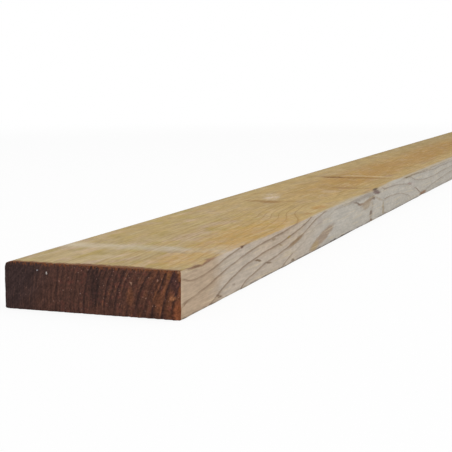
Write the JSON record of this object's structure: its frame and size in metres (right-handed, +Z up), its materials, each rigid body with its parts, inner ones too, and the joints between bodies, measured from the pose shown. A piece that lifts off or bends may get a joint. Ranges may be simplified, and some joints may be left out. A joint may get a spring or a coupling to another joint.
{
  "type": "timber plank",
  "caption": "Straight softwood plank, planed to a flat rectangular section with eased long edges and square-sawn ends, for decking, framing and shelving.",
  "frame": {"origin": "centre of the underside", "axes": "+X across the width, +Y along the length from the near end to the far end, +Z up through the thickness"},
  "size_m": [0.15, 2.4, 0.038],
  "materials": {
    "timber": "planed, unsealed, treated softwood with dark sawn ends"
  },
  "bodies": {
    "root": {"plank": "timber"}
  },
  "joints": []
}
